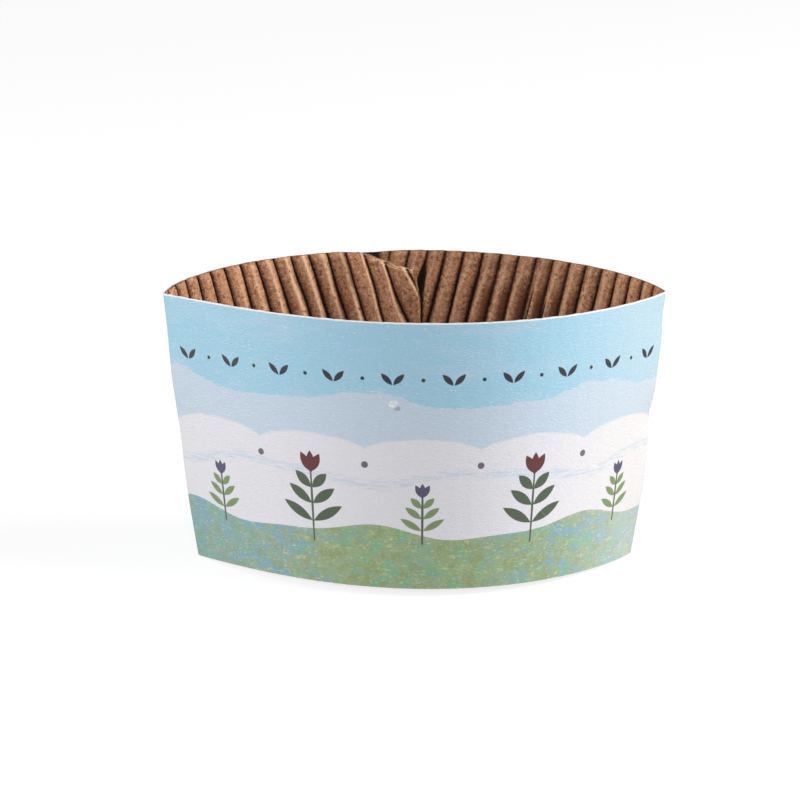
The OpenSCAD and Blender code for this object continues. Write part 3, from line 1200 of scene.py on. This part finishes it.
    def _sprig(
        self, g: Graph, ink: Paint, x: Field, y: Field, tall: float, tones: tuple[Paint, Paint]
    ) -> Socket:
        """A stem with three pairs of leaves and a bud, mirrored about it, with a tone for each of the two.

        Args:
            g: The material's graph.
            ink: The colour under it.
            x: Millimetres from the stem.
            y: Millimetres above its foot.
            tall: Its height.
            tones: Colours of the leaves and of the bud.

        Returns:
            The colour with the sprig on it.
        """
        leaf, bud = tones
        side = abs(x)
        reach = abs(y - tall * 0.42)
        stem = g.ramp(side + reach * 0.012, 0.34, 0.22) * g.ramp(reach, tall * 0.44, tall * 0.42)
        ink = g.over(ink, self.forest, stem)
        for share, length, rise in ((0.22, 0.40, 30.0), (0.42, 0.33, 36.0), (0.60, 0.25, 44.0)):
            blade = self._leaf(g, side, y, (0.15, tall * share), (tall * length, tall * 0.055), rise)
            ink = g.over(ink, leaf, blade)
        ink = g.over(ink, bud, self._leaf(g, side, y, (0.0, tall * 0.78), (tall * 0.24, tall * 0.05), 62.0))
        return g.over(ink, bud, self._leaf(g, y, side, (tall * 0.76, 0.0), (tall * 0.26, tall * 0.05), 0.0))

    def _seeds(self, g: Graph, ink: Paint, s: Field, h: Field, pitch: float) -> Socket:
        """A row of small paired leaves in the sky, with a dot between each two.

        Args:
            g: The material's graph.
            ink: The colour under it.
            s: Millimetres along the blank.
            h: Millimetres up it.
            pitch: Length of one repeat.

        Returns:
            The colour with the row on it.
        """
        x, y = self._cell(g, s, pitch / 2, pitch / 4), h - 46.2
        ink = g.over(ink, self.charcoal, self._leaf(g, abs(x), y, (0.1, 0.0), (3.4, 0.62), 48.0))
        dots = self._oval(g, self._cell(g, s, pitch / 2, 0.0), y, (0.0, 1.2), (0.42, 0.42))
        return g.over(ink, self.charcoal, dots * self._off_crease(g, s))

    def _off_crease(self, g: Graph, s: Field) -> Field:
        """Clears a strip along each crease: 0 within 2 mm of it, 1 beyond."""
        return g.ramp(abs(abs(s) - self.blank.crease_a * self.blank.mid_r), 2.0, 2.2)

    def _wear_and_crease_darkening(self, g: Graph, ink: Paint, s: Field, h: Field, place: Socket) -> Socket:
        """Handling marks: a scuff, two hair scratches and specks, and a strip just beyond the right crease
        darkened to the board's brown, low down and at the top corner.

        Args:
            g: The material's graph.
            ink: The colour under them.
            s: Millimetres along the blank.
            h: Millimetres up it.
            place: Both as a vector.

        Returns:
            The colour with the marks on it.
        """
        b = self.blank
        rough = g.noise(place, 1.1, 4, 0.7)
        torn = s + (rough - 0.5) * 2.4
        scuff = self._oval(g, torn, h, (-6.1, 42.0), (1.0, 0.75), 30.0)
        scratches = (
            (self.paper, self._oval(g, s, h, at, (length, 0.05), turn) * 0.55)
            for at, length, turn in (((30.2, 13.4), 3.4, 38.0), ((30.6, 12.8), 2.6, -48.0))
        )
        beyond = s - b.crease_a * b.mid_r
        # The strip just beyond the right crease is darkened to the board's brown, low down and at the top
        # corner.
        crease_strip = g.ramp(abs(beyond - 0.2) + (rough - 0.5) * 0.9, 0.8, 0.4)
        crease_strip_low = crease_strip * g.ramp(h, 27.0, 20.0) * g.ramp(h, 1.0, 3.0)
        return g.coats(
            ink,
            (self.plum, self._oval(g, torn, h, (-5.2, 41.0), (0.7, 0.4), 35.0) * 0.45),
            (self.paper, scuff * g.ramp(rough, 0.40, 0.52) * 0.85),
            *scratches,
            (self.board, g.ramp(g.noise(place, 1.6, 2), 0.80, 0.84) * 0.6),
            (self.board, crease_strip_low * g.ramp(rough, 0.30, 0.45) * 0.95),
            (self.board, crease_strip * g.ramp(h, b.height - 1.4, b.height - 0.7) * 0.7),
        )

    def build(self) -> bpy.types.Material:
        """Paints the border over the unrolled blank, in millimetres along it and up it.

        Returns:
            The material, satin coated paper with fine grain.
        """
        b = self.blank
        g = Graph(bpy.data.materials.new("printed_paper_face"))
        u, v = g.uv()
        s = u * ((b.seam_end - b.flap_end) * b.mid_r) + b.flap_end * b.mid_r
        h = v * b.height
        place = g.vector(s, h, 0.0)
        pitch = 4 * b.crease_a * b.mid_r / self.repeats
        turn = 2 * math.pi / pitch
        ink = self._fields(g, s, h, pitch)
        hill = 12.6 - g.math("SINE", s * (turn / 2)) * 1.4 - g.math("SINE", s * turn + 0.8) * 0.5
        ink = self._meadow(g, ink, s, h, hill)
        fleck = g.noise(g.vector(s * 0.7, h * 2.2, 6.0), 1.7, 3, 0.6)
        ink = g.over(ink, (0.55, 0.60, 0.66), g.ramp(fleck, 0.40, 0.28) * 0.30, "MULTIPLY")
        ink = g.over(ink, self.paper, g.ramp(fleck, 0.58, 0.70) * 0.40)
        for shift, foot, tall, tones in (
            (pitch, 9.6, 20.0, (self.forest, self.maroon)),
            (0.0, 10.4, 13.5, (self.olive, self.indigo)),
        ):
            ink = self._sprig(g, ink, self._cell(g, s, 2 * pitch, shift), h - foot, tall, tones)
        dots = self._oval(g, self._cell(g, s, pitch, pitch / 2), h, (0.0, 28.0), (0.75, 0.75))
        ink = g.over(ink, self.plum, dots * self._off_crease(g, s))
        ink = self._seeds(g, ink, s, h, pitch)
        ink = self._wear_and_crease_darkening(g, ink, s, h, place)
        grain = g.noise(place, 3.0, 3, 0.8)
        ink = g.over(ink, (0.62, 0.64, 0.68), g.ramp(grain, 0.50, 0.72) * 0.25, "MULTIPLY")
        ink = g.over(ink, self.paper, g.ramp(grain, 0.40, 0.26) * 0.12)
        cut = h + (g.noise(place, 1.5, 3, 0.7) - 0.5) * 0.18
        bare = g.high(g.ramp(cut, b.height - 0.32, b.height - 0.22), g.ramp(cut, 0.10, 0.05))
        ink = g.over(ink, self.paper, bare)
        relief = fleck * 0.7 + g.noise(g.vector(s, h * 2.2, 4.0), 0.4, 2) * 0.3
        return g.paper(ink, g.ramp(grain, 0.2, 0.8) * 0.12 + 0.42, g.bump(relief, *RELIEF), 0.75)


@dataclass(frozen=True)
class KraftPaper:
    """Brown recycled paper with short fibres, with a painted highlight along the flutes' crests and painted
    shade in the grooves.
    """

    base: Triple = srgb(186, 134, 100)
    # Colour of dark mottling, fibres and specks, and of painted shade on the fluted sheet.
    dark: Triple = srgb(94, 52, 34)
    # Colour of light fibres and specks, of the frayed edge, and of the painted highlight on the crests.
    light: Triple = srgb(240, 198, 158)
    # Colour of the painted shade in the grooves and on the cut edges.
    groove_shade: Triple = srgb(14, 6, 4)
    clouds_per_m: float = 240.0
    fibres_per_m: float = 1300.0
    specks_per_m: float = 3000.0

    def build(self, name: str, fluted: bool, shade: float = 0.0) -> bpy.types.Material:
        """Mixes cloudy patches, fibres and specks on Object coordinates.

        Args:
            name: Name of the material.
            fluted: Whether the mesh has the attributes for painted shade in the grooves, folds and shadows
                and a painted highlight along the crests.
            shade: How far the whole sheet is darkened with painted shade, as its cut edges are.

        Returns:
            The material.
        """
        g = Graph(bpy.data.materials.new(name))
        place = g.object_place()
        cloud = g.noise(place, self.clouds_per_m, 4, 0.6)
        fibre = g.noise(place, self.fibres_per_m, 4, 0.75, 0.6)
        speck = g.noise(place, self.specks_per_m, 2, 0.6)
        ink = g.coats(
            self.base,
            (self.dark, g.ramp(cloud, 0.48, 0.78) * 0.45),
            (self.light, g.ramp(fibre, 0.53, 0.64) * 0.55),
            (self.dark, g.ramp(fibre, 0.48, 0.36) * 0.8),
            (self.light, g.ramp(speck, 0.60, 0.70) * 0.5),
            (self.dark, g.ramp(speck, 0.42, 0.30) * 0.7),
        )
        if fluted:
            own = g.noise(g.vector(g.math("ROUND", g.attribute("flute")) * 3.7, 0.0), 1.0, 1)
            crest = g.attribute("crest") * g.ramp(fibre, 0.30, 0.50)
            low = g.attribute("ridge") + (fibre - 0.5) * 0.35
            torn = g.attribute("torn") + (fibre - 0.5) * 0.8
            fray = g.high(g.ramp(torn, 0.40, 0.24), g.ramp(abs(torn - 0.85), 0.20, 0.08) * 0.7)
            ink = g.coats(
                ink,
                (self.dark, g.ramp(own, 0.45, 0.75) * 0.20),
                # Painted highlight along the crests, broken by the fibres.
                (self.light, g.low(crest * 0.8, 1.0)),
                # Painted shade: darker brown, then near black, where the ridge mark is low, in the grooves
                # and the painted shadows.
                (self.dark, g.ramp(low, 0.85, 0.50) * 0.55),
                # Painted shade from the shade mark, in the darker brown.
                (self.dark, g.attribute("shade")),
                (self.groove_shade, g.ramp(low, 0.54, 0.18) * 0.96),
                (self.light, fray * g.ramp(fibre, 0.40, 0.56) * 0.8),
            )
        # Painted shade over the whole sheet, as far as shade says.
        ink = g.over(ink, self.groove_shade, shade)
        relief = fibre * 0.6 + cloud * 0.4
        return g.paper(ink, 0.88, g.bump(relief, *RELIEF), 0.2)


@dataclass(frozen=True)
class CutPaper:
    """The cut edge of the liner: white core with a faint grey-pink tint, and brown along the flap."""

    core: Triple = srgb(252, 253, 253)
    tint: Triple = srgb(204, 190, 186)
    brown: Triple = srgb(214, 174, 140)

    def build(self) -> bpy.types.Material:
        """Streaks the core along Object coordinates."""
        g = Graph(bpy.data.materials.new("cut_paper_edge"))
        place = g.object_place()
        streak = g.noise(place, 900.0, 3, 0.65)
        ink = g.over(self.core, self.tint, g.ramp(streak, 0.45, 0.7) * 0.4)
        ink = g.over(ink, self.brown, g.attribute("flap"))
        return g.paper(ink, 0.8, g.bump(streak, 0.05 * MM, 0.5))


@dataclass
class Sleeve:
    """The whole sleeve: its two plies, dressed and riding on the one body."""

    blank: Blank = field(default_factory=Blank)

    def build(self) -> list[bpy.types.Object]:
        """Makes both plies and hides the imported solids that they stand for.

        Returns:
            The pieces in order.
        """
        fold = FoldMap(self.blank)
        liner = PrintedLiner(fold).build()
        medium = FlutedMedium(fold).build()
        kraft = KraftPaper()
        backing = kraft.build("kraft_backing", False)
        for material in (PrintedFace(self.blank).build(), backing, CutPaper().build()):
            liner.data.materials.append(material)
        fluted = kraft.build("kraft_flutes", True)
        # The medium's cut edges get painted shade.
        for material in (fluted, fluted, kraft.build("kraft_cut_edge", False, 0.35)):
            medium.data.materials.append(material)
        for piece, node, slot in (
            (liner, "printed_liner", "printed_paper"),
            (medium, "fluted_medium", "kraft_paper"),
        ):
            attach(piece, "root")
            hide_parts(node)
            LOG.info("%s stands for %s with %d faces", piece.name, node, len(piece.data.polygons))
        return [liner, medium]


@dataclass(frozen=True)
class Viewpoint:
    """The photograph's camera, fitted to the sleeve's outline, in millimetres and degrees."""

    distance: float = 843.1
    elevation: float = 16.58
    turn: float = 1.44
    roll: float = -0.143
    right: float = -3.331
    up: float = 5.645
    focal_px: float = 3867.4
    frame_px: int = 800
    sensor: float = 36.0

    def build(self, aim_height: float) -> bpy.types.Object:
        """Places the camera round the sleeve's axis, at the given height.

        Args:
            aim_height: Height of the point that it is turned about, in millimetres.

        Returns:
            The camera, set as the scene's own.
        """
        e, roll = math.radians(self.elevation), math.radians(self.roll)
        ahead = Vector((0, math.cos(e), -math.sin(e)))
        right, up = Vector((1, 0, 0)), Vector((0, math.sin(e), math.cos(e)))
        place = right * self.right + up * self.up - ahead * self.distance
        turned_right = right * math.cos(roll) - up * math.sin(roll)
        turned_up = right * math.sin(roll) + up * math.cos(roll)
        axes = Matrix((turned_right, turned_up, -ahead)).transposed()
        spin = Matrix.Rotation(-math.radians(self.turn), 3, "Z")
        data = bpy.data.cameras.new("photo_camera")
        data.sensor_width = self.sensor
        data.lens = self.focal_px * self.sensor / self.frame_px
        data.clip_start, data.clip_end = 0.01, 20.0
        camera = bpy.data.objects.new("photo_camera", data)
        bpy.context.scene.collection.objects.link(camera)
        where = (spin @ place + Vector((0, 0, aim_height))) * MM
        camera.matrix_world = Matrix.Translation(where) @ (spin @ axes).to_4x4()
        bpy.context.scene.camera = camera
        return camera


@dataclass(frozen=True)
class SoftLamp:
    """A square softbox that faces the sleeve: its place and side in metres, its power in watts."""

    name: str
    place: Triple
    side: float
    power: float

    def build(self, aim: Vector) -> bpy.types.Object:
        """Adds the lamp, turned to the point aim.

        Args:
            aim: The point, in metres.

        Returns:
            The lamp's object.
        """
        data = bpy.data.lights.new(self.name, "AREA")
        data.shape = "SQUARE"
        data.size = self.side
        data.energy = self.power
        lamp = bpy.data.objects.new(self.name, data)
        lamp.location = self.place
        lamp.rotation_mode = "QUATERNION"
        lamp.rotation_quaternion = (Vector(self.place) - aim).to_track_quat("Z", "Y")
        bpy.context.scene.collection.objects.link(lamp)
        return lamp


@dataclass(frozen=True)
class Studio:
    """A plain white room: floor, world and three soft lamps."""

    world_level: float = 0.24
    floor_half: float = 3.0
    floor_base: float = 0.35
    floor_lift: float = 0.78
    lamps: tuple[SoftLamp, ...] = (
        SoftLamp("right_softbox", (0.97, -0.12, 0.42), 0.6, 12.0),
        SoftLamp("left_softbox", (-0.98, -0.16, 0.22), 0.45, 6.4),
        SoftLamp("front_fill", (0.0, -1.10, 0.50), 0.20, 4.1),
    )

    def _world(self) -> None:
        """White for the camera and in reflections, and a plain fill for the rest."""
        world = bpy.data.worlds.new("white_room")
        bpy.context.scene.world = world
        g = Graph(world)
        path = g.node("LightPath")
        seen = g.high(*(Field(g, path[name]) for name in ("Is Camera Ray", "Is Glossy Ray")))
        fill, white = (
            g.node("Background", {"Strength": level, "Color": WHITE})[0] for level in (self.world_level, 1.0)
        )
        g.finish(g.node("MixShader", {0: seen, 1: fill, 2: white})[0])

    def _floor(self) -> bpy.types.Object:
        """A wide matte floor at height 0, lifted to white for the camera so that only the shadow shows.

        Returns:
            The floor, staged.
        """
        half = self.floor_half
        corners = np.array([[-half, -half, 0], [half, -half, 0], [half, half, 0], [-half, half, 0]])
        mesh = bpy.data.meshes.new("studio_floor")
        mesh.from_pydata(corners.tolist(), [], [(0, 1, 2, 3)])
        floor = bpy.data.objects.new("studio_floor", mesh)
        bpy.context.scene.collection.objects.link(floor)
        g = Graph(bpy.data.materials.new("studio_floor"))
        inputs = {
            "Base Color": (self.floor_base,) * 3,
            "Roughness": 1.0,
            "Specular IOR Level": 0.0,
            "Emission Color": WHITE,
            "Emission Strength": Field(g, g.node("LightPath")["Is Camera Ray"]) * self.floor_lift,
        }
        mesh.materials.append(g.finish(g.node("BsdfPrincipled", inputs)["BSDF"]))
        return floor

    def build(self, aim: Vector) -> None:
        """Sets up the world, the floor and the lamps.

        Args:
            aim: Point that the lamps face, in metres.
        """
        self._world()
        self._floor()
        for lamp in self.lamps:
            lamp.build(aim)
        bpy.context.scene.view_settings.view_transform = "Standard"


def main() -> None:
    """Loads the frame, builds and dresses the sleeve, and sets up the studio."""
    logging.basicConfig(level=logging.INFO, format="%(name)s: %(message)s")
    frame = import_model()
    low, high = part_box("printed_liner")
    aim = (low + high) / 2
    sleeve = Sleeve()
    Viewpoint().build(sleeve.blank.height / 2)
    for piece in sleeve.build():
        LOG.info("built %s on %s", piece.name, ", ".join(frame["bodies"]))
    Studio().build(aim)


if __name__ == "__main__":
    main()
